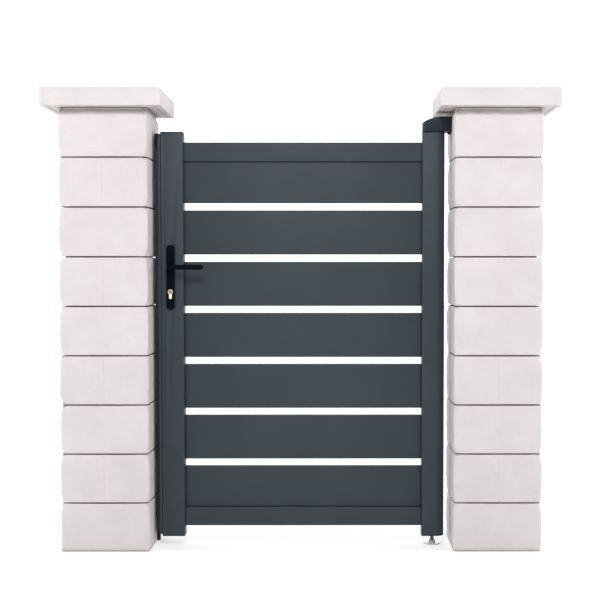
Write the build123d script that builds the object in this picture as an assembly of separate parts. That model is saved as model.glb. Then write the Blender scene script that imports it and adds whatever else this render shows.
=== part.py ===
"""Pedestrian gate: one slatted aluminium leaf between two stone pillars.

Millimetres, +Z up. X runs from the latch pillar to the hinge pillar, Y away from the street.
The origin lies on the ground, half way between the pillars and at the middle of their depth.
"""

import math
import os

from build123d import *

# Pillars: stacked stone elements under a flat slab cap
BLOCK_SIDE = 300.0
BLOCK_HEIGHT = 500.0 / 3.0
CORNER_CHAMFER = 10.0
JOINT_CHAMFER = 6.0
SEAM_WIDTH = 2.5
SEAM_DEPTH = 4.0
CAP_SIDE = 400.0
CAP_HEIGHT = 60.0
CAP_CHAMFER = 3.0
DRIP_WIDTH = 10.0
DRIP_DEPTH = 6.0
DRIP_INSET = 18.0

# Leaf: two stiles, two rails and a stack of horizontal slats
LEAF_WIDTH = 980.0
LEAF_HEIGHT = 1400.0
GROUND_CLEARANCE = 30.0
LATCH_GAP = 28.0
HINGE_GAP = 22.0
STILE_WIDTH = 78.0
STILE_DEPTH = 60.0
STILE_WALL = 2.5
STILE_CORNER = 4.0
STILE_PLUG_LIP = 3.0
STILE_PLUG_INSERT = 40.0
PLUG_CLEARANCE = 0.2
STILE_GROOVE_WIDTH = 7.0
STILE_GROOVE_DEPTH = 1.2
STILE_GROOVE_INSET = 7.0
RAIL_HEIGHT = 65.0
RAIL_DEPTH = 40.0
RAIL_WALL = 2.0
RAIL_CORNER = 3.0
RAIL_INSET = 35.5
SLAT_COUNT = 7
SLAT_THICKNESS = 20.0
SLAT_GAP = 24.5
SLAT_WALL = 1.5
SLAT_EDGE = 4.0
SLAT_TUCK = 10.0
SLAT_WEB_COUNT = 2
SLOT_CLEARANCE = 0.5

# Pivots of the hinge stile
PIVOT_FROM_EDGE = 40.0
PIN_DIAMETER = 14.0
PIN_ENGAGEMENT = 30.0
PIN_CLEARANCE = 0.05
PIN_END_PLAY = 0.3
FLOOR_PLATE_WIDTH = 56.0
FLOOR_PLATE_LENGTH = 76.0
FLOOR_PLATE_HEIGHT = 5.0
FLOOR_PLATE_CORNER = 24.0
ANCHOR_HOLE = 9.0
ANCHOR_SPACING = 52.0
NUT_ACROSS_FLATS = 22.0
NUT_HEIGHT = 8.0

# Top hinge: bracket on the pillar with a moulded hood over it
HOOD_GAP = 5.0
HOOD_WALL = 2.5
HOOD_DEPTH = 66.0
HOOD_NOSE_RADIUS = 22.0
HOOD_NOSE_HEIGHT = 27.0
HOOD_HEIGHT = 47.0
HOOD_FLAT = 31.0
BRACKET_THICKNESS = 6.0
BRACKET_WIDTH = 40.0
BRACKET_HEIGHT = 30.0
BRACKET_NOSE = 16.0

# Strike jamb on the latch pillar, behind the closed leaf
JAMB_WIDTH = 40.0
JAMB_DEPTH = 40.0
JAMB_WALL = 2.0
JAMB_CORNER = 3.0
JAMB_GAP = 5.0
JAMB_PLUG_LIP = 3.0
JAMB_PLUG_INSERT = 15.0
FOOT_WIDTH = 10.0
FOOT_DEPTH = 24.0

# Handle set and lock
BACKSET = 33.5
PLATE_WIDTH = 28.0
PLATE_LENGTH = 220.0
PLATE_THICKNESS = 9.0
PLATE_CORNER = 11.0
PLATE_EDGE = 2.0
PLATE_RISE = 75.0
SPINDLE_HEIGHT = 965.0
SPINDLE_SIDE = 8.0
SPINDLE_GRIP = 20.0
SPINDLE_HOLE = 22.0
FOREND_WIDTH = 22.0
FOREND_LENGTH = 240.0
FOREND_RISE = 55.0
FOREND_CLEARANCE = 0.2
CYLINDER_OFFSET = 85.0
CYLINDER_DIAMETER = 17.0
CYLINDER_BODY_WIDTH = 10.0
CYLINDER_BODY_ROUND = 4.9
CYLINDER_LENGTH_DOWN = 24.5
CYLINDER_PROUD = 2.0
CYLINDER_CLEARANCE = 0.3
NECK_DIAMETER = 18.0
NECK_CLEARANCE = 0.05
NECK_SEAT = 1.0
LEVER_REACH = 117.0
LEVER_HEIGHT = 17.0
LEVER_THICKNESS = 12.0
LEVER_STANDOFF = 44.0
LEVER_EDGE = 2.0
LEVER_BEND = 16.0
LEVER_TIP = 7.0

# Places worked out from the sizes above
passage = LEAF_WIDTH + LATCH_GAP + HINGE_GAP
pillar_face = passage / 2.0
pillar_centre = pillar_face + BLOCK_SIDE / 2.0
leaf_left = -pillar_face + LATCH_GAP
leaf_right = leaf_left + LEAF_WIDTH
leaf_bottom = GROUND_CLEARANCE
leaf_top = leaf_bottom + LEAF_HEIGHT
stile_bottom = leaf_bottom + STILE_PLUG_LIP
stile_length = LEAF_HEIGHT - 2.0 * STILE_PLUG_LIP
clear_left = leaf_left + STILE_WIDTH
clear_width = LEAF_WIDTH - 2.0 * STILE_WIDTH
leaf_face = STILE_DEPTH / 2.0
pivot_x = leaf_right - PIVOT_FROM_EDGE
top_rail_bottom = leaf_top - RAIL_INSET - RAIL_HEIGHT
bottom_rail_top = leaf_bottom + RAIL_INSET + RAIL_HEIGHT
slat_zone_bottom = bottom_rail_top - SLAT_TUCK
slat_zone_top = top_rail_bottom + SLAT_TUCK
slat_height = (slat_zone_top - slat_zone_bottom - (SLAT_COUNT - 1) * SLAT_GAP) / SLAT_COUNT
spindle_x = leaf_left + BACKSET
cylinder_height = SPINDLE_HEIGHT - CYLINDER_OFFSET
plate_face = leaf_face + PLATE_THICKNESS
jamb_front = leaf_face + JAMB_GAP
jamb_middle_y = jamb_front + JAMB_DEPTH / 2.0
jamb_middle_x = -pillar_face + JAMB_WIDTH / 2.0
hood_bottom = leaf_top + HOOD_GAP
courses = math.ceil((hood_bottom + HOOD_HEIGHT) / BLOCK_HEIGHT)
pillar_height = courses * BLOCK_HEIGHT

os.makedirs("parts", exist_ok=True)


def save(shape, node):
    """Write one node to its own file."""
    export_step(shape, f"parts/{node}.step")


def upright(profile, bottom, height):
    """Extrude a plan profile upwards from a level."""
    return extrude(Pos(0, 0, bottom) * profile, amount=height, dir=(0, 0, 1))


def lying(profile, left, length):
    """Extrude an end profile, drawn as (Y, Z), along X from its left end."""
    return extrude(Plane.YZ.offset(left) * profile, amount=length)


def through(profile, front, depth):
    """Extrude a front profile, drawn as (X, Z), along +Y from its front."""
    plane = Plane(origin=(0, front, 0), x_dir=(1, 0, 0), z_dir=(0, -1, 0))
    return extrude(plane * profile, amount=-depth)


# Pillar elements, stacked with a V-shaped joint between their chamfered arrises. Each course is a pair
# of half stones with a butt seam between them, and the pairs lie crosswise from course to course.
block_plan = chamfer(Rectangle(BLOCK_SIDE, BLOCK_SIDE).vertices(), CORNER_CHAMFER)
block = extrude(block_plan, amount=BLOCK_HEIGHT)
block_ends = block.faces().filter_by(Axis.Z).edges()
block = chamfer(block_ends, JOINT_CHAMFER)
for face in (-BLOCK_SIDE / 2.0, BLOCK_SIDE / 2.0):
    block -= Pos(0, face, BLOCK_HEIGHT / 2.0) * Box(SEAM_WIDTH, 2.0 * SEAM_DEPTH, BLOCK_HEIGHT)

# Slab cap with a drip groove round its underside
cap = Pos(0, 0, CAP_HEIGHT / 2.0) * Box(CAP_SIDE, CAP_SIDE, CAP_HEIGHT)
cap = chamfer(cap.edges(), CAP_CHAMFER)
drip_outer = CAP_SIDE - 2.0 * DRIP_INSET
drip_inner = drip_outer - 2.0 * DRIP_WIDTH
drip = Rectangle(drip_outer, drip_outer) - Rectangle(drip_inner, drip_inner)
cap -= extrude(drip, amount=DRIP_DEPTH)

for side, centre in (("left", -pillar_centre), ("right", pillar_centre)):
    for course in range(courses):
        turn = 90.0 if (courses - course) % 2 else 0.0
        save(Pos(centre, 0, course * BLOCK_HEIGHT) * Rot(0, 0, turn) * block, f"{side}_pillar_block_{course + 1}")
    save(Pos(centre, 0, pillar_height) * cap, f"{side}_pillar_cap")


# Stile outlines in plan, about the stile's own middle. The hinge stile has a half-round outer edge.
latch_outline = RectangleRounded(STILE_WIDTH, STILE_DEPTH, STILE_CORNER)
latch_core = Rectangle(STILE_WIDTH - 2.0 * STILE_WALL, STILE_DEPTH - 2.0 * STILE_WALL)
round_middle = (STILE_WIDTH - STILE_DEPTH) / 2.0


def hinge_form(inset):
    """Half-round stile outline, drawn in by a wall thickness."""
    radius = STILE_DEPTH / 2.0 - inset
    flat = STILE_WIDTH / 2.0 - inset + round_middle
    square = Pos(round_middle - flat / 2.0, 0) * Rectangle(flat, 2.0 * radius)
    return square + Pos(round_middle, 0) * Circle(radius)


hinge_outline = hinge_form(0.0)
hinge_square_end = hinge_outline.vertices().group_by(Axis.X)[0]
hinge_outline = fillet(hinge_square_end, STILE_CORNER)
hinge_core = hinge_form(STILE_WALL)

# Shallow grooves down both faces of the latch stile, near its outer edge
groove_x = -STILE_WIDTH / 2.0 + STILE_GROOVE_INSET + STILE_GROOVE_WIDTH / 2.0
groove = Rectangle(STILE_GROOVE_WIDTH, 2.0 * STILE_GROOVE_DEPTH)
latch_profile = latch_outline - Pos(groove_x, leaf_face) * groove - Pos(groove_x, -leaf_face) * groove

latch_middle = leaf_left + STILE_WIDTH / 2.0
hinge_middle = leaf_right - STILE_WIDTH / 2.0
latch_stile = upright(Pos(latch_middle, 0) * (latch_profile - latch_core), stile_bottom, stile_length)
hinge_stile = upright(Pos(hinge_middle, 0) * (hinge_outline - hinge_core), stile_bottom, stile_length)


def cylinder_outline(clearance):
    """Front outline of the lock cylinder: a round barrel with a hanging body."""
    drop = Pos(0, -CYLINDER_LENGTH_DOWN / 2.0) * Rectangle(CYLINDER_BODY_WIDTH, CYLINDER_LENGTH_DOWN)
    drop = fillet(drop.vertices().group_by(Axis.Y)[0], CYLINDER_BODY_ROUND)
    outline = Circle(CYLINDER_DIAMETER / 2.0) + drop
    return offset(outline, clearance) if clearance else outline


lock_place = Pos(spindle_x, cylinder_height)
spindle_place = Pos(spindle_x, SPINDLE_HEIGHT)
cylinder_hole = lock_place * cylinder_outline(CYLINDER_CLEARANCE)
latch_stile -= through(cylinder_hole, -leaf_face, STILE_DEPTH)
latch_stile -= through(spindle_place * Circle(SPINDLE_HOLE / 2.0), -leaf_face, STILE_DEPTH)

# Lock forend, set flush in a window of the latch stile's outer wall
forend_middle = SPINDLE_HEIGHT + FOREND_RISE - FOREND_LENGTH / 2.0


def forend_form(clearance):
    """Plate that fills the window in the stile's wall, grown by a clearance."""
    outline = Pos(0, forend_middle) * Rectangle(FOREND_WIDTH + 2.0 * clearance, FOREND_LENGTH + 2.0 * clearance)
    return lying(outline, leaf_left, STILE_WALL)


latch_stile -= forend_form(FOREND_CLEARANCE)
save(latch_stile, "latch_stile")
save(forend_form(0.0), "lock_forend")
save(hinge_stile, "hinge_stile")


def stile_plug(outline, core_form, end_level, inwards):
    """End plug of a stile: a lip that covers the tube's end and an insert that fills its mouth."""
    lip = upright(outline, min(end_level, end_level - inwards * STILE_PLUG_LIP), STILE_PLUG_LIP)
    start = min(end_level, end_level + inwards * STILE_PLUG_INSERT)
    return lip + upright(core_form, start, STILE_PLUG_INSERT)


insert_width = STILE_WIDTH - 2.0 * (STILE_WALL + PLUG_CLEARANCE)
insert_depth = STILE_DEPTH - 2.0 * (STILE_WALL + PLUG_CLEARANCE)
latch_insert = Pos(latch_middle, 0) * Rectangle(insert_width, insert_depth)
hinge_insert = Pos(hinge_middle, 0) * hinge_form(STILE_WALL + PLUG_CLEARANCE)
latch_lip = Pos(latch_middle, 0) * latch_outline
hinge_lip = Pos(hinge_middle, 0) * hinge_outline
stile_top = stile_bottom + stile_length
save(stile_plug(latch_lip, latch_insert, stile_top, -1), "latch_stile_top_plug")
save(stile_plug(latch_lip, latch_insert, stile_bottom, 1), "latch_stile_bottom_plug")

# The hinge stile's plugs are also its pivot bushes, bored for the pins
bush_bore = Pos(pivot_x, 0) * Circle(PIN_DIAMETER / 2.0 + PIN_CLEARANCE)
bore_depth = PIN_ENGAGEMENT + PIN_END_PLAY
top_bush = stile_plug(hinge_lip, hinge_insert, stile_top, -1)
top_bush -= upright(bush_bore, leaf_top - bore_depth, bore_depth)
bottom_bush = stile_plug(hinge_lip, hinge_insert, stile_bottom, 1)
bottom_bush -= upright(bush_bore, leaf_bottom, PIN_ENGAGEMENT)
save(top_bush, "hinge_stile_top_bush")
save(bottom_bush, "hinge_stile_bottom_bush")


# Rails: box extrusions with a channel along one edge that takes the end slat
def rail_profile():
    """End profile of the bottom rail, its slat channel at the top, about its own middle."""
    outline = RectangleRounded(RAIL_DEPTH, RAIL_HEIGHT, RAIL_CORNER)
    hollow = Rectangle(RAIL_DEPTH - 2.0 * RAIL_WALL, RAIL_HEIGHT - 2.0 * RAIL_WALL)
    channel_width = SLAT_THICKNESS + 2.0 * SLOT_CLEARANCE
    channel_depth = SLAT_TUCK
    top = RAIL_HEIGHT / 2.0
    trough_depth = channel_depth + RAIL_WALL
    trough = Pos(0, top - trough_depth / 2.0) * Rectangle(channel_width + 2.0 * RAIL_WALL, trough_depth)
    channel = Pos(0, top - channel_depth / 2.0) * Rectangle(channel_width, channel_depth)
    return outline - (hollow - trough) - channel


bottom_rail_middle = bottom_rail_top - RAIL_HEIGHT / 2.0
top_rail_middle = top_rail_bottom + RAIL_HEIGHT / 2.0
save(lying(Pos(0, bottom_rail_middle) * rail_profile(), clear_left, clear_width), "bottom_rail")
save(lying(Pos(0, top_rail_middle) * Rot(0, 0, 180) * rail_profile(), clear_left, clear_width), "top_rail")

# Slats: flat chambered extrusions with rounded edges
slat_profile = RectangleRounded(SLAT_THICKNESS, slat_height, SLAT_EDGE)
chambers = SLAT_WEB_COUNT + 1
chamber_depth = SLAT_THICKNESS - 2.0 * SLAT_WALL
chamber_height = (slat_height - 2.0 * SLAT_EDGE - SLAT_WEB_COUNT * SLAT_WALL) / chambers
chamber_pitch = chamber_height + SLAT_WALL
for chamber in range(chambers):
    height = (chamber - (chambers - 1) / 2.0) * chamber_pitch
    slat_profile -= Pos(0, height) * Rectangle(chamber_depth, chamber_height)
for slat in range(SLAT_COUNT):
    middle = slat_zone_top - slat_height / 2.0 - slat * (slat_height + SLAT_GAP)
    save(lying(Pos(0, middle) * slat_profile, clear_left, clear_width), f"slat_{slat + 1}")

# Floor pivot: anchored plate, lock nut and standing pin
pivot = Pos(pivot_x, 0)
floor_plate = RectangleRounded(FLOOR_PLATE_WIDTH, FLOOR_PLATE_LENGTH, FLOOR_PLATE_CORNER)
for anchor in (-1, 1):
    floor_plate -= Pos(0, anchor * ANCHOR_SPACING / 2.0) * Circle(ANCHOR_HOLE / 2.0)
save(upright(pivot * floor_plate, 0.0, FLOOR_PLATE_HEIGHT), "floor_pivot_plate")
pin_round = pivot * Circle(PIN_DIAMETER / 2.0)
pin_foot = FLOOR_PLATE_HEIGHT
pin_tip = leaf_bottom + PIN_ENGAGEMENT
save(upright(pin_round, pin_foot, pin_tip - pin_foot), "floor_pivot_pin")
nut = RegularPolygon(NUT_ACROSS_FLATS / 2.0, 6, major_radius=False) - Circle(PIN_DIAMETER / 2.0)
save(upright(pivot * nut, FLOOR_PLATE_HEIGHT, NUT_HEIGHT), "floor_pivot_nut")

# Top hinge bracket: wall plate, arm and the hanging pin, under the hood
arm_bottom = hood_bottom
arm_left = pivot_x - BRACKET_NOSE
arm_plan = Pos((arm_left + pillar_face) / 2.0, 0) * RectangleRounded(
    pillar_face - arm_left, BRACKET_WIDTH, BRACKET_NOSE / 2.0
)
arm_square = Pos(pillar_face - BRACKET_NOSE / 2.0, 0) * Rectangle(BRACKET_NOSE, BRACKET_WIDTH)
bracket = upright(arm_plan + arm_square, arm_bottom, BRACKET_THICKNESS)
wall_plate = Pos(pillar_face - BRACKET_THICKNESS / 2.0, 0) * Rectangle(BRACKET_THICKNESS, BRACKET_WIDTH)
bracket += upright(wall_plate, arm_bottom, BRACKET_HEIGHT)
bracket += upright(pin_round, leaf_top - PIN_ENGAGEMENT, arm_bottom - leaf_top + PIN_ENGAGEMENT)
save(bracket, "top_hinge_bracket")


def hood_form(inset, reach):
    """Hood body: a roof line that curves down to a round-cornered nose, drawn in by its wall."""
    left = leaf_right - STILE_WIDTH + inset
    right = pillar_face + reach
    bottom = hood_bottom - reach
    half = HOOD_DEPTH / 2.0 - inset
    crest = pillar_face - HOOD_FLAT
    nose_top = hood_bottom + HOOD_NOSE_HEIGHT - inset
    wall_top = hood_bottom + HOOD_HEIGHT - inset
    roof = TangentArc((crest, wall_top), (left, nose_top), tangent=(-1, 0))
    rest = Polyline((left, nose_top), (left, bottom), (right, bottom), (right, wall_top), (crest, wall_top))
    side = through(make_face([roof, rest]), -half, 2.0 * half)
    plan = Pos((left + right) / 2.0, 0) * Rectangle(right - left, 2.0 * half)
    plan = fillet(plan.vertices().group_by(Axis.X)[0], HOOD_NOSE_RADIUS - inset)
    return side & upright(plan, bottom, wall_top - bottom)


save(hood_form(0.0, 0.0) - hood_form(HOOD_WALL, HOOD_WALL), "top_hinge_hood")

# Strike jamb: a box extrusion screwed to the latch pillar, with an end cap and a foot
jamb_outline = RectangleRounded(JAMB_WIDTH, JAMB_DEPTH, JAMB_CORNER)
jamb_core = Rectangle(JAMB_WIDTH - 2.0 * JAMB_WALL, JAMB_DEPTH - 2.0 * JAMB_WALL)
jamb_place = Pos(jamb_middle_x, jamb_middle_y)
jamb_bottom = leaf_bottom + JAMB_PLUG_LIP
jamb_length = LEAF_HEIGHT - 2.0 * JAMB_PLUG_LIP
save(upright(jamb_place * (jamb_outline - jamb_core), jamb_bottom, jamb_length), "strike_jamb")

jamb_insert_wall = JAMB_WALL + PLUG_CLEARANCE
jamb_insert = jamb_place * Rectangle(JAMB_WIDTH - 2.0 * jamb_insert_wall, JAMB_DEPTH - 2.0 * jamb_insert_wall)
jamb_top = jamb_bottom + jamb_length
jamb_cap = upright(jamb_place * jamb_outline, jamb_top, JAMB_PLUG_LIP)
jamb_cap += upright(jamb_insert, jamb_top - JAMB_PLUG_INSERT, JAMB_PLUG_INSERT)
save(jamb_cap, "strike_jamb_cap")
jamb_foot = upright(jamb_place * jamb_outline, leaf_bottom, JAMB_PLUG_LIP)
jamb_foot += upright(jamb_insert, jamb_bottom, JAMB_PLUG_INSERT)
foot_leg = Pos(-pillar_face + FOOT_WIDTH / 2.0, jamb_middle_y) * Rectangle(FOOT_WIDTH, FOOT_DEPTH)
jamb_foot += upright(foot_leg, 0.0, leaf_bottom)
save(jamb_foot, "strike_jamb_foot")

# Handle plates on both faces of the latch stile, bored for the lever neck and the lock cylinder
plate_middle = Pos(spindle_x, SPINDLE_HEIGHT + PLATE_RISE - PLATE_LENGTH / 2.0)
neck_hole = spindle_place * Circle(NECK_DIAMETER / 2.0 + NECK_CLEARANCE)
plate_outline = plate_middle * RectangleRounded(PLATE_WIDTH, PLATE_LENGTH, PLATE_CORNER)
plate = through(plate_outline, -plate_face, PLATE_THICKNESS)
plate = chamfer(plate.faces().sort_by(Axis.Y)[0].edges(), PLATE_EDGE)
plate -= through(neck_hole + cylinder_hole, -plate_face, PLATE_THICKNESS)
save(plate, "front_handle_plate")
save(mirror(plate, about=Plane.XZ), "back_handle_plate")

# Lock cylinder, right through the leaf and just proud of both plates
cylinder_face = plate_face + CYLINDER_PROUD
save(through(lock_place * cylinder_outline(0.0), -cylinder_face, 2.0 * cylinder_face), "lock_cylinder")

# Levers: a round neck in the plate and a flat bar bent over to the grip, on one square spindle
grip_back = leaf_face + LEVER_STANDOFF
grip_front = grip_back + LEVER_THICKNESS
neck_foot = leaf_face + NECK_SEAT
bar = Polyline(
    (spindle_x - LEVER_HEIGHT / 2.0, -plate_face - NECK_SEAT),
    (spindle_x - LEVER_HEIGHT / 2.0, -grip_front),
    (spindle_x + LEVER_REACH, -grip_front),
    (spindle_x + LEVER_REACH, -grip_back),
    (spindle_x + LEVER_HEIGHT / 2.0, -grip_back),
    (spindle_x + LEVER_HEIGHT / 2.0, -plate_face - NECK_SEAT),
    close=True,
)
bar_plan = make_face(bar)
outer_corner = bar_plan.vertices().sort_by(lambda v: v.X + v.Y)[0]
bar_plan = fillet(outer_corner, LEVER_BEND)
lever = upright(bar_plan, SPINDLE_HEIGHT - LEVER_HEIGHT / 2.0, LEVER_HEIGHT)
tip_edges = lever.edges().filter_by(Axis.Y).group_by(Axis.X)[-1]
lever = fillet(tip_edges, LEVER_TIP)
grip_faces = lever.faces().filter_by(Axis.Y).sort_by(Axis.Y)
lever = chamfer(grip_faces[0].edges(), LEVER_EDGE)
lever += through(spindle_place * Circle(NECK_DIAMETER / 2.0), -grip_back, grip_back - neck_foot)
spindle_square = spindle_place * Rectangle(SPINDLE_SIDE, SPINDLE_SIDE)
spindle_end = neck_foot + SPINDLE_GRIP
lever -= through(spindle_square, -spindle_end, SPINDLE_GRIP)
save(lever, "front_lever")
save(mirror(lever, about=Plane.XZ), "back_lever")
save(through(spindle_square, -spindle_end, 2.0 * spindle_end), "lever_spindle")
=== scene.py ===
import math

import bmesh
import bpy
from mathutils import Matrix, Vector, noise


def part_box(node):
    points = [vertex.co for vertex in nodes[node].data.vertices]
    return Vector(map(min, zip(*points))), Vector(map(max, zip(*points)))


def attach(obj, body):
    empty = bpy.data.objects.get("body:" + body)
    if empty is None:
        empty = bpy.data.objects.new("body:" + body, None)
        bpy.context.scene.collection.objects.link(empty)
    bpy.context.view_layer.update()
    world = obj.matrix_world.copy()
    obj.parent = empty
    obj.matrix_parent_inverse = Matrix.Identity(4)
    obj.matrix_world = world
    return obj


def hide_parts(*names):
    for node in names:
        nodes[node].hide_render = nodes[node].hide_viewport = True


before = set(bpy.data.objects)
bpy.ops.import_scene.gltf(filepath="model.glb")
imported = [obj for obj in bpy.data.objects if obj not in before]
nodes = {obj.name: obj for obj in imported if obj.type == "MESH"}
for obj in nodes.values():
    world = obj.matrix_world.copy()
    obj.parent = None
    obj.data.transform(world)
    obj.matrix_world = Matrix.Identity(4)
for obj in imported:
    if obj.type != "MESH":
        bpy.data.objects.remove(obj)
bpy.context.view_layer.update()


# Pillar elements
# Each course of a pillar is a pair of half stones in pale reconstituted stone, split on their outer faces
# and laid crosswise on the course below. The bed is set back, which leaves a narrow open joint.
BLOCK_SIDE = 0.300
BLOCK_HEIGHT = 0.500 / 3.0
COURSES = 9
ARRIS_ROUND = 0.007
BED_EDGE_ROUND = 0.003
BED_SETBACK = 0.017
JOINT_HALF_GAP = 0.0021
SEAM_HALF_WIDTH = 0.0007
SEAM_DEPTH = 0.0004
FACE_ROWS = 30
FACE_COLUMNS = 52
LONG_EDGE = 0.05
TINY = 0.0001
CROWN = 0.0016
CORNER_DROP = 0.0160
TOP_DRAW = 0.0105
TOP_DRAW_HEIGHT = 0.021
BROAD_RELIEF = 0.0020
SCOOP_RELIEF = 0.0030
RELIEF_LIFT = 0.0015
PICK_RELIEF = 0.0007
CHIP_DEPTH = 0.007
STONE_LIGHT = (0.572, 0.535, 0.538, 1.0)
STONE_DARK = (0.517, 0.478, 0.480, 1.0)
STONE_SPECK = (0.420, 0.390, 0.380, 1.0)
# Warm brown painted shade for the joints and the band under the cap.
STONE_PAINTED_SHADE = (0.215, 0.145, 0.100, 1.0)
RECESS_REACH = 0.032
# Colour of the painted highlight on the stone's sharp arrises.
STONE_PAINTED_HIGHLIGHT = (0.700, 0.666, 0.662, 1.0)


def start_box(name, low, high):
    """Add a cube at a box's size and place, and leave it in edit mode with nothing selected."""
    bpy.ops.object.select_all(action="DESELECT")
    bpy.ops.mesh.primitive_cube_add(size=1.0, location=(low + high) / 2.0, scale=high - low)
    return open_piece(name)


def open_piece(name):
    """Put a fresh primitive's place into its mesh, name it and open it in edit mode."""
    bpy.ops.object.transform_apply(location=True, rotation=True, scale=True)
    piece = bpy.context.object
    piece.name = name
    piece.data.name = name
    bpy.ops.object.mode_set(mode="EDIT")
    bpy.ops.mesh.select_all(action="DESELECT")
    return piece


def close_piece(smooth_degrees):
    """Leave edit mode and shade the piece smooth up to an angle."""
    bpy.ops.object.mode_set(mode="OBJECT")
    bpy.ops.object.shade_smooth_by_angle(angle=math.radians(smooth_degrees))


def pick_edges(piece, wanted):
    """Select just the edges whose two ends pass a test."""
    bpy.ops.mesh.select_mode(type="EDGE")
    bpy.ops.mesh.select_all(action="DESELECT")
    shape = bmesh.from_edit_mesh(piece.data)
    for edge in shape.edges:
        if wanted(edge.verts[0].co, edge.verts[1].co):
            edge.select_set(True)
    bmesh.update_edit_mesh(piece.data)


def pick_faces(piece, wanted):
    """Select just the faces whose middle and normal pass a test."""
    bpy.ops.mesh.select_mode(type="FACE")
    bpy.ops.mesh.select_all(action="DESELECT")
    shape = bmesh.from_edit_mesh(piece.data)
    for face in shape.faces:
        if wanted(face.calc_center_median(), face.normal):
            face.select_set(True)
    bmesh.update_edit_mesh(piece.data)


def extrude_by(offset):
    """Extrude what is selected by an offset."""
    bpy.ops.mesh.extrude_region_move(TRANSFORM_OT_translate={"value": offset})


def stone_pair():
    """Model one course about its own middle: rounded arrises, raised beds and a butt seam."""
    half = Vector((BLOCK_SIDE, BLOCK_SIDE, BLOCK_HEIGHT - 2.0 * JOINT_HALF_GAP)) / 2.0
    pair = start_box("stone_pair", -half, half)
    pick_edges(pair, lambda a, b: abs(a.z - b.z) > LONG_EDGE)
    bpy.ops.mesh.bevel(offset=ARRIS_ROUND, segments=3, affect="EDGES")
    pick_edges(pair, lambda a, b: abs(a.z + b.z) > 2.0 * (half.z - TINY))
    bpy.ops.mesh.bevel(offset=BED_EDGE_ROUND, segments=2, affect="EDGES")
    bed_half = half.x - BED_EDGE_ROUND - BED_SETBACK
    bed_scale = bed_half / (half.x - 1.5 * BED_EDGE_ROUND)
    for up in (1.0, -1.0):
        pick_faces(pair, lambda middle, normal: normal.z * up > 0.99)
        bpy.ops.mesh.inset(thickness=BED_EDGE_ROUND / 2.0)
        bpy.ops.transform.resize(value=(bed_scale, bed_scale, 1.0), center_override=(0.0, 0.0, 0.0))
        extrude_by((0.0, 0.0, up * JOINT_HALF_GAP))
    for axis, count in ((2, FACE_ROWS), (0, FACE_COLUMNS), (1, FACE_COLUMNS)):
        pick_edges(pair, lambda a, b: abs(a[axis] - b[axis]) > LONG_EDGE)
        bpy.ops.mesh.subdivide(number_cuts=count - 1)
    on_seam = lambda a, b: max(abs(a.x), abs(b.x)) < TINY and min(abs(a.y), abs(b.y)) > bed_half + TINY
    pick_edges(pair, on_seam)
    bpy.ops.mesh.bevel(offset=SEAM_HALF_WIDTH, segments=2, affect="EDGES")
    for front in (-1.0, 1.0):
        pick_edges(pair, lambda a, b: on_seam(a, b) and a.y * front > 0.0)
        bpy.ops.transform.translate(value=(0.0, -front * SEAM_DEPTH, 0.0))
    close_piece(50.0)
    return pair


def split_faces(stone, middle, half, top_draw, on_ground):
    """Hew a stone's outer faces: crowned, with soft split relief, dropped corners and small chips."""
    bed_share = 1.0 - (BED_EDGE_ROUND + BED_SETBACK - TINY) / half.x
    normals = [vertex.normal.copy() for vertex in stone.data.vertices]
    for vertex, outward in zip(stone.data.vertices, normals):
        place = vertex.co.copy()
        from_middle = place - middle
        across = abs(from_middle.x) / half.x
        along = abs(from_middle.y) / half.y
        if max(across, along) < bed_share:
            continue
        rise = max(from_middle.z, 0.0 if on_ground else -from_middle.z) / half.z
        side = min(across, along)
        crown = CROWN * (0.7 * rise ** 6 + 0.3 * side ** 6)
        corner = CORNER_DROP * rise ** 5 * side ** 7 * (0.9 + 0.8 * noise.noise(place * 7.0))
        grain_line = Vector((place.x + 0.5 * place.z, place.y + 0.5 * place.z, 1.5 * place.z))
        relief = RELIEF_LIFT + BROAD_RELIEF * noise.fractal(place * 9.0, 1.0, 2.0, 2)
        scoops = noise.turbulence(grain_line * 15.0, 3, True, amplitude_scale=0.5, frequency_scale=2.2)
        relief -= SCOOP_RELIEF * scoops
        relief += PICK_RELIEF * noise.fractal(place * 62.0, 0.8, 2.0, 2)
        nearness = max(rise, side) ** 10
        chip = CHIP_DEPTH * nearness * max(0.0, noise.noise(place * 26.0 + Vector((3.1, 7.7, 1.3))) - 0.25)
        below_bed = (half.z - from_middle.z) / (TOP_DRAW_HEIGHT * (1.0 + 0.35 * noise.noise(place * 17.0)))
        drawn = top_draw * max(0.0, 1.0 - below_bed)
        push = relief - crown - corner - chip - drawn
        push = max(min(push, 0.0002), 0.002 - BED_SETBACK)
        vertex.co = place + Vector((outward.x, outward.y, 0.0)) * push


def new_finish(name):
    """Start a node material and give its tree, its shader and its Object coordinates."""
    finish = bpy.data.materials.new(name)
    finish.use_nodes = True
    tree = finish.node_tree
    coordinates = tree.nodes.new("ShaderNodeTexCoord").outputs["Object"]
    return finish, tree, tree.nodes["Principled BSDF"], coordinates


def noise_node(tree, coordinates, scale, detail, roughness):
    """A fractal noise value."""
    node = tree.nodes.new("ShaderNodeTexNoise")
    node.inputs["Scale"].default_value = scale
    node.inputs["Detail"].default_value = detail
    node.inputs["Roughness"].default_value = roughness
    tree.links.new(coordinates, node.inputs["Vector"])
    return node.outputs["Fac"]


def cell_node(tree, coordinates, scale):
    """A cell distance value."""
    node = tree.nodes.new("ShaderNodeTexVoronoi")
    node.inputs["Scale"].default_value = scale
    tree.links.new(coordinates, node.inputs["Vector"])
    return node.outputs["Distance"]


def range_node(tree, value, low, high, to_low, to_high):
    """A value taken from one range to another, and held at its ends."""
    node = tree.nodes.new("ShaderNodeMapRange")
    tree.links.new(value, node.inputs["Value"])
    for socket, number in zip(("From Min", "From Max", "To Min", "To Max"), (low, high, to_low, to_high)):
        node.inputs[socket].default_value = number
    return node.outputs["Result"]


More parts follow.
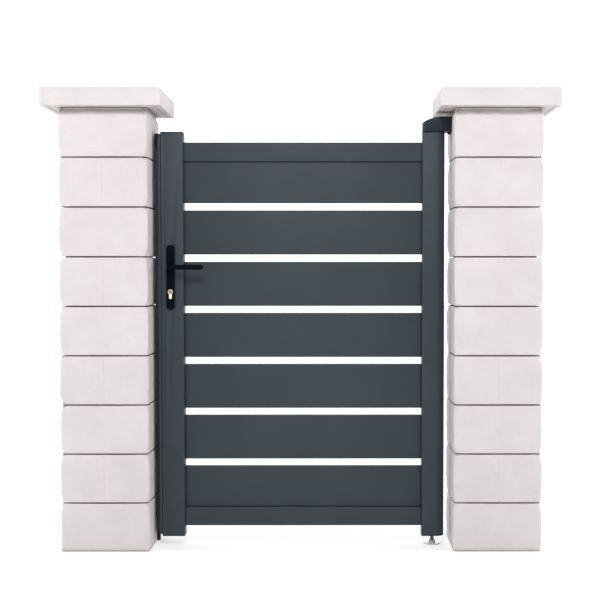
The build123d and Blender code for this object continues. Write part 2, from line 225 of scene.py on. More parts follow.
def mix_node(tree, share, first, second, blend="MIX"):
    """Two colours mixed by a share. Each is a colour or another node's output."""
    node = tree.nodes.new("ShaderNodeMix")
    node.data_type = "RGBA"
    node.blend_type = blend
    for socket, value in ((node.inputs[0], share), (node.inputs[6], first), (node.inputs[7], second)):
        if isinstance(value, bpy.types.NodeSocket):
            tree.links.new(value, socket)
        else:
            socket.default_value = value
    return node.outputs[2]


def bump_node(tree, height, strength, distance, under=None):
    """A bump from a height value, on top of another bump where one is given."""
    node = tree.nodes.new("ShaderNodeBump")
    node.inputs["Strength"].default_value = strength
    node.inputs["Distance"].default_value = distance
    tree.links.new(height, node.inputs["Height"])
    if under:
        tree.links.new(under, node.inputs["Normal"])
    return node.outputs["Normal"]


def course_tone(tree, coordinates):
    """A steady value for each stone, from the course it lies in and its pillar's side."""
    split = tree.nodes.new("ShaderNodeSeparateXYZ")
    tree.links.new(coordinates, split.inputs["Vector"])
    course = tree.nodes.new("ShaderNodeMath")
    course.operation = "MULTIPLY"
    course.inputs[1].default_value = 1.0 / BLOCK_HEIGHT
    tree.links.new(split.outputs["Z"], course.inputs[0])
    level = tree.nodes.new("ShaderNodeMath")
    level.operation = "FLOOR"
    tree.links.new(course.outputs["Value"], level.inputs[0])
    side = tree.nodes.new("ShaderNodeMath")
    side.operation = "SIGN"
    tree.links.new(split.outputs["X"], side.inputs[0])
    pair = tree.nodes.new("ShaderNodeCombineXYZ")
    tree.links.new(level.outputs["Value"], pair.inputs["X"])
    tree.links.new(side.outputs["Value"], pair.inputs["Y"])
    tone = tree.nodes.new("ShaderNodeTexWhiteNoise")
    tree.links.new(pair.outputs["Vector"], tone.inputs["Vector"])
    return tone.outputs["Value"]


def pale_stone_finish():
    """Reconstituted stone: cloudy off-white paste, sandy specks and an open, gritty surface, with painted
    shade in its recesses and a painted highlight on its arrises.
    """
    finish, tree, shader, coordinates = new_finish("pale_stone")
    clouds = range_node(tree, noise_node(tree, coordinates, 9.0, 4.0, 0.6), 0.32, 0.68, 0.0, 1.0)
    mottle = range_node(tree, noise_node(tree, coordinates, 60.0, 5.0, 0.65), 0.30, 0.70, 0.0, 1.0)
    paste = mix_node(tree, clouds, STONE_DARK, STONE_LIGHT)
    paste = mix_node(tree, range_node(tree, mottle, 0.0, 1.0, 0.0, 0.45), paste, STONE_LIGHT)
    specks = range_node(tree, cell_node(tree, coordinates, 420.0), 0.10, 0.22, 0.55, 0.0)
    sandy = range_node(tree, noise_node(tree, coordinates, 160.0, 2.0, 0.5), 0.52, 0.66, 0.0, 1.0)
    speckled = mix_node(tree, specks, paste, STONE_SPECK)
    paste = mix_node(tree, sandy, paste, speckled)
    tone = range_node(tree, course_tone(tree, coordinates), 0.0, 1.0, 0.0, 0.10)
    paste = mix_node(tree, tone, paste, STONE_DARK)
    # Painted highlight: the sharp arrises are lightened as if they caught the light.
    edges = tree.nodes.new("ShaderNodeNewGeometry").outputs["Pointiness"]
    paste = mix_node(tree, range_node(tree, edges, 0.53, 0.62, 0.0, 0.6), paste, STONE_PAINTED_HIGHLIGHT)
    # Painted shade: the stone is darkened towards warm brown in its joints, under the cap and wherever
    # other parts come close.
    recess = tree.nodes.new("ShaderNodeAmbientOcclusion")
    recess.samples = 8
    recess.inputs["Distance"].default_value = RECESS_REACH
    painted_stone_shade = range_node(tree, recess.outputs["AO"], 0.22, 0.80, 0.80, 0.0)
    paste = mix_node(tree, painted_stone_shade, paste, STONE_PAINTED_SHADE)
    tree.links.new(paste, shader.inputs["Base Color"])
    tree.links.new(range_node(tree, mottle, 0.0, 1.0, 0.82, 0.96), shader.inputs["Roughness"])
    shader.inputs["Specular IOR Level"].default_value = 0.25
    coarse = bump_node(tree, noise_node(tree, coordinates, 95.0, 5.0, 0.7), 0.45, 0.0016)
    grit = bump_node(tree, noise_node(tree, coordinates, 620.0, 3.0, 0.6), 0.50, 0.0007, coarse)
    tree.links.new(grit, shader.inputs["Normal"])
    return finish


def copy_of(model, name, placing):
    """A copy of a model with its own mesh, put in place in that mesh."""
    piece = bpy.data.objects.new(name, model.data.copy())
    piece.data.transform(placing)
    bpy.context.scene.collection.objects.link(piece)
    return piece


def fit_out(piece, finish, body, slot, *replaced):
    """Give a finished piece its material and its body, and hide the nodes it stands for. The slot argument
    is not used.
    """
    piece.data.materials.clear()
    piece.data.materials.append(finish)
    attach(piece, body)
    if replaced:
        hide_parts(*replaced)


pale_stone = pale_stone_finish()
pair_model = stone_pair()
for pillar in ("left", "right"):
    for course in range(1, COURSES + 1):
        node = f"{pillar}_pillar_block_{course}"
        low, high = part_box(node)
        crosswise = Matrix.Rotation(math.radians(90.0 * ((COURSES - course + 1) % 2)), 4, "Z")
        stone = copy_of(pair_model, f"{pillar}_stone_course_{course}",
                        Matrix.Translation((low + high) / 2.0) @ crosswise)
        top_draw = TOP_DRAW if course == COURSES else 0.0
        split_faces(stone, (low + high) / 2.0, (high - low) / 2.0, top_draw, course == 1)
        fit_out(stone, pale_stone, "posts", "pale_stone", node)
bpy.data.objects.remove(pair_model)


# Slab caps
# Each pillar is closed by a flat cast slab of the same stone, bedded on the top course.
# Its edges are eased by the mould, and a drip groove runs round the underside.
CAP_EDGE_ROUND = 0.0022
DRIP_INSET = 0.018
DRIP_WIDTH = 0.004
DRIP_DEPTH = 0.0014
CAP_CELLS = 34
CAP_RELIEF = 0.0002


def slab_cap(name, low, high):
    """Model a slab in its place, with the groove sunk into its underside."""
    slab = start_box(name, low, high)
    pick_faces(slab, lambda middle, normal: normal.z < -0.99)
    bpy.ops.mesh.inset(thickness=DRIP_INSET)
    bpy.ops.mesh.inset(thickness=DRIP_WIDTH)
    inner = (high.x - low.x) / 2.0 - DRIP_INSET - DRIP_WIDTH
    outer = (high.x - low.x) / 2.0 - DRIP_INSET
    centre = (low + high) / 2.0
    reach = lambda place: max(abs(place.x - centre.x), abs(place.y - centre.y))
    pick_faces(slab, lambda middle, normal: normal.z < -0.99 and inner < reach(middle) < outer)
    extrude_by((0.0, 0.0, DRIP_DEPTH))
    pick_edges(slab, lambda a, b: min(reach(a), reach(b)) > outer + TINY)
    bpy.ops.mesh.bevel(offset=CAP_EDGE_ROUND, segments=3, affect="EDGES")
    for axis in (0, 1):
        pick_edges(slab, lambda a, b: abs(a[axis] - b[axis]) > LONG_EDGE)
        bpy.ops.mesh.subdivide(number_cuts=CAP_CELLS - 1)
    close_piece(40.0)
    return slab


def cast_faces(slab, bed):
    """Give a cast slab the slight waviness of its mould, and keep its bed true."""
    normals = [vertex.normal.copy() for vertex in slab.data.vertices]
    for vertex, outward in zip(slab.data.vertices, normals):
        if vertex.co.z < bed + DRIP_DEPTH + TINY and outward.z < -0.7:
            continue
        wave = noise.fractal(vertex.co * 22.0, 1.0, 2.0, 3)
        vertex.co += outward * min(CAP_RELIEF * (wave - 0.8), 0.0)


for pillar in ("left", "right"):
    node = f"{pillar}_pillar_cap"
    low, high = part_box(node)
    cap = slab_cap(f"{pillar}_slab_cap", low, high)
    cast_faces(cap, low.z)
    fit_out(cap, pale_stone, "posts", "pale_stone", node)


# Strike jamb
# A square aluminium extrusion, powder coated like the leaf and screwed to the latch pillar behind it.
# A moulded cap and foot close its ends, and push-in plugs cover the holes that its screws went in by.
COAT_DARK = (0.0250, 0.0356, 0.0446, 1.0)
COAT_LIGHT = (0.0296, 0.0416, 0.0520, 1.0)
# Colour of the painted shade in the coat's grooves and where parts meet, and how much of it the leaf and
# the jamb get.
COAT_PAINTED_SHADE = (0.0090, 0.0130, 0.0165, 1.0)
COAT_RECESS_REACH = 0.012
LEAF_PAINTED_SHADE_SHARE = 0.85
JAMB_PAINTED_SHADE_SHARE = 0.10
PLASTIC_DARK = (0.0100, 0.0160, 0.0220, 1.0)
PLASTIC_LIGHT = (0.0140, 0.0210, 0.0285, 1.0)
HOLE_PLUG_RADIUS = 0.007
HOLE_PLUG_PROUD = 0.0016
HOLE_PLUG_EDGE = 0.0011
HOLE_PLUG_LEVELS = (0.16, 0.73, 1.30)


def powder_coat_finish(name, painted_shade_share):
    """Anthracite polyester powder: even, with painted shade in the recesses, a fine texture and a satin
    gloss.
    """
    finish, tree, shader, coordinates = new_finish(name)
    drift = range_node(tree, noise_node(tree, coordinates, 5.0, 3.0, 0.5), 0.30, 0.70, 0.0, 1.0)
    fleck = noise_node(tree, coordinates, 1500.0, 2.0, 0.6)
    coat = mix_node(tree, drift, COAT_DARK, COAT_LIGHT)
    coat = mix_node(tree, range_node(tree, fleck, 0.45, 0.75, 0.0, 0.35), coat, COAT_LIGHT)
    # Painted shade: the coat is darkened in grooves and where parts meet, by the given share.
    recess = tree.nodes.new("ShaderNodeAmbientOcclusion")
    recess.samples = 8
    recess.inputs["Distance"].default_value = COAT_RECESS_REACH
    painted_coat_shade = range_node(tree, recess.outputs["AO"], 0.35, 0.90, painted_shade_share, 0.0)
    coat = mix_node(tree, painted_coat_shade, coat, COAT_PAINTED_SHADE)
    tree.links.new(coat, shader.inputs["Base Color"])
    smear = noise_node(tree, coordinates, 38.0, 4.0, 0.6)
    tree.links.new(range_node(tree, smear, 0.3, 0.7, 0.46, 0.54), shader.inputs["Roughness"])
    shader.inputs["Specular IOR Level"].default_value = 0.26
    peel = bump_node(tree, noise_node(tree, coordinates, 260.0, 2.0, 0.5), 0.05, 0.0006)
    texture = bump_node(tree, noise_node(tree, coordinates, 1900.0, 2.0, 0.5), 0.10, 0.0002, peel)
    tree.links.new(texture, shader.inputs["Normal"])
    return finish


def black_plastic_finish():
    """Moulded nylon: near black with a cool cast and an etched grain from the tool."""
    finish, tree, shader, coordinates = new_finish("black_plastic")
    cloud = range_node(tree, noise_node(tree, coordinates, 40.0, 3.0, 0.6), 0.3, 0.7, 0.0, 1.0)
    tree.links.new(mix_node(tree, cloud, PLASTIC_DARK, PLASTIC_LIGHT), shader.inputs["Base Color"])
    tree.links.new(range_node(tree, cloud, 0.0, 1.0, 0.36, 0.50), shader.inputs["Roughness"])
    shader.inputs["Specular IOR Level"].default_value = 0.14
    grain = bump_node(tree, cell_node(tree, coordinates, 900.0), 0.16, 0.0004)
    tree.links.new(grain, shader.inputs["Normal"])
    return finish


def coat_nodes(finish, *names):
    """Give CAD nodes that keep their own shape a finish."""
    for name in names:
        nodes[name].material_slots[0].material = finish


def start_round(name, middle, radius, length, turn=(0.0, 0.0, 0.0), sides=48):
    """Add a cylinder at its size and place, and leave it in edit mode with nothing selected."""
    bpy.ops.object.select_all(action="DESELECT")
    bpy.ops.mesh.primitive_cylinder_add(vertices=sides, radius=radius, depth=length, location=middle,
                                        rotation=turn)
    return open_piece(name)


ALONG_X = (0.0, math.radians(90.0), 0.0)
ALONG_Y = (math.radians(90.0), 0.0, 0.0)
powder_coat = powder_coat_finish("anthracite_powder_coat", LEAF_PAINTED_SHADE_SHARE)
jamb_coat = powder_coat_finish("jamb_powder_coat", JAMB_PAINTED_SHADE_SHARE)
black_plastic = black_plastic_finish()
coat_nodes(jamb_coat, "strike_jamb")
coat_nodes(black_plastic, "strike_jamb_cap", "strike_jamb_foot")
jamb_low, jamb_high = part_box("strike_jamb")
for number, level in enumerate(HOLE_PLUG_LEVELS, 1):
    face = jamb_high.x + HOLE_PLUG_PROUD
    middle = Vector((jamb_high.x + HOLE_PLUG_PROUD / 2.0, (jamb_low.y + jamb_high.y) / 2.0, level))
    plug = start_round(f"jamb_hole_plug_{number}", middle, HOLE_PLUG_RADIUS, HOLE_PLUG_PROUD, ALONG_X)
    pick_edges(plug, lambda a, b: min(a.x, b.x) > face - TINY)
    bpy.ops.mesh.bevel(offset=HOLE_PLUG_EDGE, segments=3, affect="EDGES")
    close_piece(40.0)
    fit_out(plug, black_plastic, "posts", "black_plastic")


# Floor pivot
# The leaf stands on a zinc plated pin, threaded into a plate that two expansion bolts hold to the ground.
# A lock nut keeps the pin's height. The pin's top is smooth, where it turns in the stile's bush.
ZINC_BRIGHT = (0.60, 0.63, 0.66, 1.0)
ZINC_DULL = (0.32, 0.35, 0.38, 1.0)
CHAMFER_SLOPE = math.tan(math.radians(30.0))
NUT_ACROSS = 0.022
BOLT_ACROSS = 0.013
BOLT_HEAD = 0.0053
WASHER_RADIUS = 0.0085
WASHER_THICKNESS = 0.0016
BOLT_SPACING = 0.052
THREAD_PITCH = 0.002
THREAD_DEPTH_SHARE = 0.89


def zinc_finish():
    """Bright zinc plating on steel: cool grey, cloudy, with fine marks of the rolled sheet under it."""
    finish, tree, shader, coordinates = new_finish("zinc_plated_steel")
    cloud = range_node(tree, noise_node(tree, coordinates, 120.0, 4.0, 0.6), 0.3, 0.7, 0.0, 1.0)
    tree.links.new(mix_node(tree, cloud, ZINC_DULL, ZINC_BRIGHT), shader.inputs["Base Color"])
    tree.links.new(range_node(tree, cloud, 0.0, 1.0, 0.40, 0.24), shader.inputs["Roughness"])
    shader.inputs["Metallic"].default_value = 1.0
    marks = bump_node(tree, noise_node(tree, coordinates, 900.0, 3.0, 0.6), 0.12, 0.0002)
    tree.links.new(marks, shader.inputs["Normal"])
    return finish


def hexagon(name, foot, across, height, both_ends):
    """Model a hexagon nut or head standing on a foot point, its corners turned off at thirty degrees."""
    flat = across / 2.0
    middle = foot + Vector((0.0, 0.0, height / 2.0))
    piece = start_round(name, middle, flat, height, sides=72)
    for up in ((1.0, -1.0) if both_ends else (1.0,)):
        pick_faces(piece, lambda centre, normal: normal.z * up > 0.99)
        bpy.ops.mesh.inset(thickness=0.04 * across)
    shape = bmesh.from_edit_mesh(piece.data)
    for vertex in shape.verts:
        spoke = vertex.co - middle
        if spoke.xy.length < flat - TINY:
            continue
        angle = math.atan2(spoke.y, spoke.x)
        from_flat = (angle + math.pi / 6.0) % (math.pi / 3.0) - math.pi / 6.0
        radius = flat / math.cos(from_flat)
        drop = (radius - flat) * CHAMFER_SLOPE
        if spoke.z < 0.0:
            drop = -drop if both_ends else 0.0
        vertex.co = middle + Vector((radius * math.cos(angle), radius * math.sin(angle), spoke.z - drop))
    bmesh.update_edit_mesh(piece.data)
    close_piece(25.0)
    return piece


zinc = zinc_finish()
plate_low, plate_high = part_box("floor_pivot_plate")
plate_top = Vector(((plate_low.x + plate_high.x) / 2.0, (plate_low.y + plate_high.y) / 2.0, plate_high.z))
coat_nodes(zinc, "floor_pivot_plate")
nut_low, nut_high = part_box("floor_pivot_nut")
nut = hexagon("pivot_lock_nut", plate_top, NUT_ACROSS, nut_high.z - nut_low.z, True)
fit_out(nut, zinc, "posts", "zinc_plated_steel", "floor_pivot_nut")

pin_low, pin_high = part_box("floor_pivot_pin")
pin_middle = (pin_low + pin_high) / 2.0
thread_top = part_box("hinge_stile_bottom_bush")[0].z - THREAD_PITCH
pin_rings = 2 * round((pin_high.z - pin_low.z) / THREAD_PITCH)
ring_step = (pin_high.z - pin_low.z) / pin_rings
pin = start_round("pivot_pin", pin_middle, (pin_high.x - pin_low.x) / 2.0, pin_high.z - pin_low.z)
pick_edges(pin, lambda a, b: abs(a.z - b.z) > THREAD_PITCH)
bpy.ops.mesh.subdivide(number_cuts=pin_rings - 1)
in_root = lambda place: place.z < thread_top and round((place.z - pin_low.z) / ring_step) % 2 == 1
pick_edges(pin, lambda a, b: in_root(a) and in_root(b))
bpy.ops.transform.resize(value=(THREAD_DEPTH_SHARE, THREAD_DEPTH_SHARE, 1.0), center_override=pin_middle)
close_piece(25.0)
fit_out(pin, zinc, "posts", "zinc_plated_steel", "floor_pivot_pin")

for place, side in (("front", -1.0), ("back", 1.0)):
    foot = plate_top + Vector((0.0, side * BOLT_SPACING / 2.0, 0.0))
    washer_middle = foot + Vector((0.0, 0.0, WASHER_THICKNESS / 2.0))
    washer = start_round(f"anchor_washer_{place}", washer_middle, WASHER_RADIUS, WASHER_THICKNESS)
    pick_faces(washer, lambda middle, normal: normal.z > 0.99)
    bpy.ops.mesh.bevel(offset=WASHER_THICKNESS / 5.0, segments=2, affect="EDGES")
    close_piece(35.0)
    fit_out(washer, zinc, "posts", "zinc_plated_steel")
    head_foot = foot + Vector((0.0, 0.0, WASHER_THICKNESS))
    head = hexagon(f"anchor_bolt_{place}", head_foot, BOLT_ACROSS, BOLT_HEAD, False)
    fit_out(head, zinc, "posts", "zinc_plated_steel")


# Top hinge
# A coated steel bracket on the hinge pillar carries the pin that holds the stile's top bush.
# A moulded hood clips over it and bears on the pillar with two lugs. An oval washer fills the gap.
HOOD_EDGE_ROUND = 0.0011
HOOD_SKIRT = 0.0032
LUG_LENGTH = 0.0112
LUG_DEPTH = 0.006
LUG_DROP = 0.0085
LUG_EDGE = 0.0012


def softened(node, name, edge_round):
    """Copy a CAD node, make its flats whole again and round its sharp edges over."""
    bpy.ops.object.select_all(action="DESELECT")
    piece = copy_of(nodes[node], name, Matrix.Identity(4))
    bpy.context.view_layer.objects.active = piece
    piece.select_set(True)
    bpy.ops.mesh.customdata_custom_splitnormals_clear()
    bpy.ops.object.mode_set(mode="EDIT")
    bpy.ops.mesh.select_all(action="SELECT")
    bpy.ops.mesh.remove_doubles(threshold=0.000005)
    bpy.ops.mesh.dissolve_limited(angle_limit=math.radians(0.6))
    bpy.ops.object.mode_set(mode="OBJECT")
    rounding = piece.modifiers.new("edge_round", "BEVEL")
    rounding.width = edge_round
    rounding.segments = 3
    rounding.limit_method = "ANGLE"
    rounding.angle_limit = math.radians(32.0)
    bpy.ops.object.modifier_apply(modifier=rounding.name)
    bpy.ops.object.shade_smooth_by_angle(angle=math.radians(32.0))
    return piece


SPACER_RADIUS = 0.031
SPACER_STRETCH = 1.22
SPACER_EDGE = 0.0012
SPACER_CLEARANCE = 0.0004
coat_nodes(powder_coat, "top_hinge_bracket")
spacer_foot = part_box("hinge_stile_top_bush")[1].z + SPACER_CLEARANCE
spacer_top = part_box("top_hinge_hood")[0].z + SPACER_EDGE
spacer_middle = Vector((plate_top.x, plate_top.y, (spacer_foot + spacer_top) / 2.0))
spacer = start_round("hinge_spacer", spacer_middle, SPACER_RADIUS, spacer_top - spacer_foot, sides=64)
bpy.ops.mesh.select_all(action="SELECT")
bpy.ops.transform.resize(value=(SPACER_STRETCH, 1.0, 1.0), center_override=spacer_middle)
pick_edges(spacer, lambda a, b: abs(a.z - b.z) < TINY)
bpy.ops.mesh.bevel(offset=SPACER_EDGE, segments=2, affect="EDGES")
close_piece(35.0)
fit_out(spacer, black_plastic, "posts", "black_plastic")
hood = softened("top_hinge_hood", "hinge_hood", HOOD_EDGE_ROUND)
hood_low, hood_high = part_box("top_hinge_hood")
bpy.ops.object.mode_set(mode="EDIT")
pick_faces(hood, lambda middle, normal: middle.z < hood_low.z + 2.0 * HOOD_EDGE_ROUND)
bpy.ops.transform.translate(value=(0.0, 0.0, -HOOD_SKIRT))
bpy.ops.object.mode_set(mode="OBJECT")
fit_out(hood, black_plastic, "posts", "black_plastic", "top_hinge_hood")
for place, side in (("front", -1.0), ("back", 1.0)):
    lug_front = min(side * hood_high.y, side * (hood_high.y - LUG_DEPTH))
    lug_low = Vector((hood_high.x - LUG_LENGTH, lug_front, hood_low.z - LUG_DROP))
    lug_high = Vector((hood_high.x, lug_low.y + LUG_DEPTH, hood_low.z + LUG_EDGE))
    lug = start_box(f"hood_lug_{place}", lug_low, lug_high)
    pick_edges(lug, lambda a, b: min(a.z, b.z) < lug_low.z + TINY and max(a.x, b.x) < lug_high.x + TINY)
    bpy.ops.mesh.bevel(offset=LUG_EDGE, segments=3, affect="EDGES")
    close_piece(40.0)
    fit_out(lug, black_plastic, "posts", "black_plastic")


# Leaf frame
# Two upright box extrusions and two rails between them, powder coated after they were cut and drilled.
# The latch stile has a shallow groove and a closing strip, and the hinge stile is half round.
EXTRUSION_EDGE_ROUND = 0.0006
STRIP_WIDTH = 0.009
STRIP_FACE_INSET = 0.0006
STRIP_DEPTH = 0.018
STRIP_EDGE_ROUND = 0.0018
STRIP_END_INSET = 0.004

for node in ("latch_stile", "hinge_stile", "top_rail", "bottom_rail"):
    member = softened(node, f"{node}_extrusion", EXTRUSION_EDGE_ROUND)
    fit_out(member, powder_coat, "leaf", "anthracite_powder_coat", node)
stile_low, stile_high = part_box("latch_stile")
strip_front = stile_low.y + STRIP_FACE_INSET
strip_low = Vector((stile_low.x - STRIP_WIDTH, strip_front, stile_low.z + STRIP_END_INSET))
strip_high = Vector((stile_low.x, strip_low.y + STRIP_DEPTH, stile_high.z - STRIP_END_INSET))
strip = start_box("closing_strip", strip_low, strip_high)
pick_edges(strip, lambda a, b: abs(a.z - b.z) > LONG_EDGE and a.x < stile_low.x - TINY)
bpy.ops.mesh.bevel(offset=STRIP_EDGE_ROUND, segments=4, affect="EDGES")
close_piece(40.0)
fit_out(strip, powder_coat, "leaf", "anthracite_powder_coat")


# Slats
# Seven wide chambered extrusions in the same coat, fixed between the stiles with an open gap under each.
# The first and the last are held in the channels of the rails.
SLATS = 7
for number in range(1, SLATS + 1):
    slat = softened(f"slat_{number}", f"slat_{number}_extrusion", EXTRUSION_EDGE_ROUND)
    fit_out(slat, powder_coat, "leaf", "anthracite_powder_coat", f"slat_{number}")


# Stile plugs and bushes
# Moulded plugs close the four ends of the stiles. Those of the hinge stile are bored for the pivot pins.
coat_nodes(black_plastic, "latch_stile_top_plug", "latch_stile_bottom_plug")
coat_nodes(black_plastic, "hinge_stile_top_bush", "hinge_stile_bottom_bush")


# Mortice lock
# A profile cylinder in satin brass goes through the leaf, with a plug and a keyway at both ends.
# A zinc plated forend lies flush in the latch stile's edge, round two bolts, and is held by two screws.
BRASS_BRIGHT = (0.93, 0.86, 0.72, 1.0)
BRASS_DULL = (0.84, 0.75, 0.58, 1.0)
PLUG_BRIGHT = (0.470, 0.310, 0.190, 1.0)
PLUG_DULL = (0.330, 0.205, 0.115, 1.0)
# Deep brown painted shade for the keyway and the other hollows of the brass.
BRASS_PAINTED_SHADE = (0.080, 0.042, 0.022, 1.0)
BRASS_METALLIC = 0.45
BRASS_SHADE_REACH = 0.005
BARREL_RADIUS = 0.0085
PLUG_RADIUS = 0.0063
PLUG_PLAY = 0.0005
PLUG_SEAT = 0.0012
PLUG_EDGE = 0.0003
KEYWAY_WIDTH = 0.0032
KEYWAY_HEIGHT = 0.0080
KEYWAY_DEPTH = 0.006
CYLINDER_EDGE = 0.0005
FOREND_EDGE = 0.0004
FOREND_BOLTS = (("latch_bolt", 0.965, 0.030, 0.013), ("dead_bolt", 0.895, 0.036, 0.013))
BOLT_LENGTH = 0.012
BOLT_PLAY = 0.0004
BOLT_EDGE = 0.0005
FOREND_SCREW_INSET = 0.016
FOREND_SCREW_RADIUS = 0.0042
FOREND_SCREW_DEPTH = 0.0014
SCREW_SLOT = 0.0010
SCREW_SLOT_LENGTH = 0.0046


def brass_finish(name, dull, bright):
    """Satin brass, turned, with fine rings of the tool and brown painted shade in its recesses."""
    finish, tree, shader, coordinates = new_finish(name)
    cloud = range_node(tree, noise_node(tree, coordinates, 260.0, 3.0, 0.6), 0.3, 0.7, 0.0, 1.0)
    # Painted shade: the keyway and other hollows are darkened to deep brown.
    recess = tree.nodes.new("ShaderNodeAmbientOcclusion")
    recess.samples = 8
    recess.inputs["Distance"].default_value = BRASS_SHADE_REACH
    painted_brass_shade = range_node(tree, recess.outputs["AO"], 0.30, 0.85, 1.0, 0.0)
    brass = mix_node(tree, cloud, dull, bright)
    tree.links.new(mix_node(tree, painted_brass_shade, brass, BRASS_PAINTED_SHADE), shader.inputs["Base Color"])
    tree.links.new(range_node(tree, cloud, 0.0, 1.0, 0.42, 0.30), shader.inputs["Roughness"])
    shader.inputs["Metallic"].default_value = BRASS_METALLIC
    marks = bump_node(tree, noise_node(tree, coordinates, 2200.0, 2.0, 0.5), 0.10, 0.0001)
    tree.links.new(marks, shader.inputs["Normal"])
    return finish


def cut_away(piece, cutter):
    """Cut one closed shape out of another and remove the cutter."""
    cut = piece.modifiers.new("cut", "BOOLEAN")
    cut.operation = "DIFFERENCE"
    cut.solver = "EXACT"
    cut.object = cutter
    bpy.ops.object.select_all(action="DESELECT")
    piece.select_set(True)
    bpy.context.view_layer.objects.active = piece
    bpy.ops.object.modifier_apply(modifier=cut.name)
    bpy.data.objects.remove(cutter)


cylinder_brass = brass_finish("cylinder_brass", BRASS_DULL, BRASS_BRIGHT)
plug_brass = brass_finish("plug_brass", PLUG_DULL, PLUG_BRIGHT)
cylinder = softened("lock_cylinder", "profile_cylinder", CYLINDER_EDGE)
cylinder_low, cylinder_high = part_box("lock_cylinder")
barrel = Vector(((cylinder_low.x + cylinder_high.x) / 2.0, 0.0, cylinder_high.z - BARREL_RADIUS))
keyway_half = Vector((KEYWAY_WIDTH, 2.0 * KEYWAY_DEPTH, KEYWAY_HEIGHT)) / 2.0
for place, face, inward in (("front", cylinder_low.y, 1.0), ("back", cylinder_high.y, -1.0)):
    face_middle = Vector((barrel.x, face, barrel.z))
    seat = start_round("seat_cutter", face_middle, PLUG_RADIUS, 2.0 * PLUG_SEAT, ALONG_Y)
    close_piece(30.0)
    cut_away(cylinder, seat)
    plug_middle = face_middle + Vector((0.0, inward * PLUG_SEAT / 2.0, 0.0))
    plug = start_round(f"lock_plug_{place}", plug_middle, PLUG_RADIUS - PLUG_PLAY, PLUG_SEAT, ALONG_Y)
    pick_edges(plug, lambda a, b: abs(a.y - face) < TINY and abs(b.y - face) < TINY)
    bpy.ops.mesh.bevel(offset=PLUG_EDGE, segments=2, affect="EDGES")
    close_piece(30.0)
    for piece in (cylinder, plug):
        keyway = start_box("keyway_cutter", face_middle - keyway_half, face_middle + keyway_half)
        close_piece(30.0)
        cut_away(piece, keyway)
    fit_out(plug, plug_brass, "leaf", "cylinder_brass")
fit_out(cylinder, cylinder_brass, "leaf", "cylinder_brass", "lock_cylinder")

forend_low, forend_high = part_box("lock_forend")
forend = softened("lock_forend", "mortice_forend", FOREND_EDGE)
for bolt, level, height, width in FOREND_BOLTS:
    window_half = Vector((4.0 * FOREND_SCREW_DEPTH, width, height)) / 2.0
    middle = Vector((forend_low.x, 0.0, level))
    window = start_box("window_cutter", middle - window_half, middle + window_half)
    close_piece(30.0)
    cut_away(forend, window)
    play = Vector((0.0, BOLT_PLAY, BOLT_PLAY))
    bolt_low = Vector((forend_low.x, -width / 2.0, level - height / 2.0)) + play
    bolt_high = Vector((forend_low.x + BOLT_LENGTH, width / 2.0, level + height / 2.0)) - play
    piece = start_box(bolt, bolt_low, bolt_high)
    pick_edges(piece, lambda a, b: max(a.x, b.x) < forend_low.x + TINY)
    bpy.ops.mesh.bevel(offset=BOLT_EDGE, segments=2, affect="EDGES")
    close_piece(35.0)
    fit_out(piece, zinc, "leaf", "zinc_plated_steel")
screw_levels = (("upper", forend_high.z - FOREND_SCREW_INSET), ("lower", forend_low.z + FOREND_SCREW_INSET))
for place, level in screw_levels:
    seat_middle = Vector((forend_low.x, 0.0, level))
    seat = start_round("seat_cutter", seat_middle, FOREND_SCREW_RADIUS, 2.0 * FOREND_SCREW_DEPTH, ALONG_X)
    close_piece(30.0)
    cut_away(forend, seat)
    head_middle = seat_middle + Vector((0.6 * FOREND_SCREW_DEPTH, 0.0, 0.0))
    head_radius = FOREND_SCREW_RADIUS - BOLT_PLAY
    head_height = 0.8 * FOREND_SCREW_DEPTH
    screw = start_round(f"forend_screw_{place}", head_middle, head_radius, head_height, ALONG_X)
    pick_edges(screw, lambda a, b: max(a.x, b.x) < head_middle.x)
    bpy.ops.mesh.bevel(offset=BOLT_EDGE, segments=2, affect="EDGES")
    close_piece(35.0)
    for slot in ((SCREW_SLOT, SCREW_SLOT_LENGTH), (SCREW_SLOT_LENGTH, SCREW_SLOT)):
        slot_half = Vector((FOREND_SCREW_DEPTH, slot[0], slot[1])) / 2.0
        slot_cutter = start_box("slot_cutter", seat_middle - slot_half, seat_middle + slot_half)
        close_piece(30.0)
        cut_away(screw, slot_cutter)
    fit_out(screw, zinc, "leaf", "zinc_plated_steel")
fit_out(forend, zinc, "leaf", "zinc_plated_steel", "lock_forend")


# Handle set
# A long narrow plate and a straight lever on each face of the stile, cast and lacquered black.
# The levers share one square spindle, and a collar in each plate steadies the lever's neck.
LACQUER_DARK = (0.0018, 0.0036, 0.0060, 1.0)
LACQUER_LIGHT = (0.0028, 0.0052, 0.0084, 1.0)
PLATE_EDGE_ROUND = 0.0008
LEVER_EDGE_ROUND = 0.0009


def black_lacquer_finish():
    """Black stoving lacquer on a casting: deep colour, satin gloss and a slight flow in the coat."""
    finish, tree, shader, coordinates = new_finish("black_handle_metal")
    cloud = range_node(tree, noise_node(tree, coordinates, 90.0, 3.0, 0.6), 0.3, 0.7, 0.0, 1.0)
    tree.links.new(mix_node(tree, cloud, LACQUER_DARK, LACQUER_LIGHT), shader.inputs["Base Color"])
    tree.links.new(range_node(tree, cloud, 0.0, 1.0, 0.32, 0.42), shader.inputs["Roughness"])
    shader.inputs["Specular IOR Level"].default_value = 0.025
    flow = bump_node(tree, noise_node(tree, coordinates, 420.0, 2.0, 0.5), 0.08, 0.0003)
    tree.links.new(flow, shader.inputs["Normal"])
    return finish


black_lacquer = black_lacquer_finish()
coat_nodes(zinc, "lever_spindle")
for face in ("front", "back"):
    plate = softened(f"{face}_handle_plate", f"{face}_back_plate", PLATE_EDGE_ROUND)
    fit_out(plate, black_lacquer, "leaf", "black_handle_metal", f"{face}_handle_plate")
    lever = softened(f"{face}_lever", f"{face}_lever_handle", LEVER_EDGE_ROUND)
    fit_out(lever, black_lacquer, "lever", "black_handle_metal", f"{face}_lever")


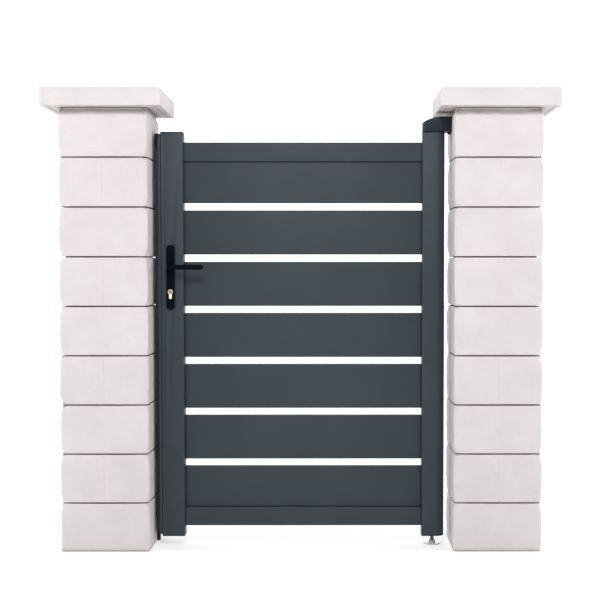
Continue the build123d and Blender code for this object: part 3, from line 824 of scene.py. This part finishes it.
# Studio
# A plain pale floor under a white sky that is brighter behind the gate, with a lamp high in front of it,
# a strip over the top rail, a soft box on either side, and the camera.
FLOOR_SPAN = 60.0
FLOOR_WHITE = (0.60, 0.60, 0.605, 1.0)
FLOOR_GLOW = 0.44
SKY_FRONT = 0.36
SKY_BACK = 1.80
LAMP_AIM = Vector((0.0, 0.0, 0.8))
CAMERA_PLACE = Vector((0.1172, -4.6006, 0.9605))
CAMERA_DOWN = math.radians(2.725)
CAMERA_RIGHT = math.radians(0.107)
CAMERA_LENS = 79.41
CAMERA_SHIFT = (-0.0642, 0.0526)


def studio_lamp(name, place, width, height, watts):
    """Hang a rectangular lamp at a place and aim it at the gate."""
    data = bpy.data.lights.new(name, "AREA")
    data.shape = "RECTANGLE"
    data.size = width
    data.size_y = height
    data.energy = watts
    lamp = bpy.data.objects.new(name, data)
    lamp.location = place
    lamp.rotation_euler = (LAMP_AIM - place).to_track_quat("-Z", "Y").to_euler()
    bpy.context.scene.collection.objects.link(lamp)


bpy.ops.object.select_all(action="DESELECT")
bpy.ops.mesh.primitive_plane_add(size=FLOOR_SPAN)
floor = bpy.context.object
floor.name = "studio_floor"
floor_finish, floor_tree, floor_shader, floor_coordinates = new_finish("floor_white")
floor_shader.inputs["Base Color"].default_value = FLOOR_WHITE
floor_shader.inputs["Emission Color"].default_value = (1.0, 1.0, 1.0, 1.0)
floor_shader.inputs["Emission Strength"].default_value = FLOOR_GLOW
floor_shader.inputs["Roughness"].default_value = 0.9
floor_shader.inputs["Specular IOR Level"].default_value = 0.1
floor.data.materials.append(floor_finish)

sky = bpy.data.worlds.new("studio_sky")
sky.use_nodes = True
sky_tree = sky.node_tree
sky_direction = sky_tree.nodes.new("ShaderNodeSeparateXYZ")
sky_coordinates = sky_tree.nodes.new("ShaderNodeTexCoord").outputs["Generated"]
sky_tree.links.new(sky_coordinates, sky_direction.inputs["Vector"])
sky_strength = range_node(sky_tree, sky_direction.outputs["Y"], -0.45, 0.45, SKY_FRONT, SKY_BACK)
sky_tree.nodes["Background"].inputs["Color"].default_value = (1.0, 1.0, 1.0, 1.0)
sky_tree.links.new(sky_strength, sky_tree.nodes["Background"].inputs["Strength"])
bpy.context.scene.world = sky

studio_lamp("front_lamp", Vector((-0.10, -3.40, 3.15)), 0.36, 0.36, 70.0)
studio_lamp("strip_lamp", Vector((0.0, -2.90, 1.95)), 1.8, 0.10, 8.0)
studio_lamp("left_soft_box", Vector((-3.4, -0.9, 1.6)), 1.6, 2.4, 60.0)
studio_lamp("right_soft_box", Vector((3.4, -0.9, 1.6)), 1.6, 2.4, 56.0)

camera_data = bpy.data.cameras.new("photo_camera")
camera_data.lens = CAMERA_LENS
camera_data.shift_x, camera_data.shift_y = CAMERA_SHIFT
camera = bpy.data.objects.new("photo_camera", camera_data)
camera.location = CAMERA_PLACE
camera.rotation_euler = (math.radians(90.0) - CAMERA_DOWN, 0.0, -CAMERA_RIGHT)
bpy.context.scene.collection.objects.link(camera)
bpy.context.scene.camera = camera
bpy.context.scene.view_settings.view_transform = "Standard"
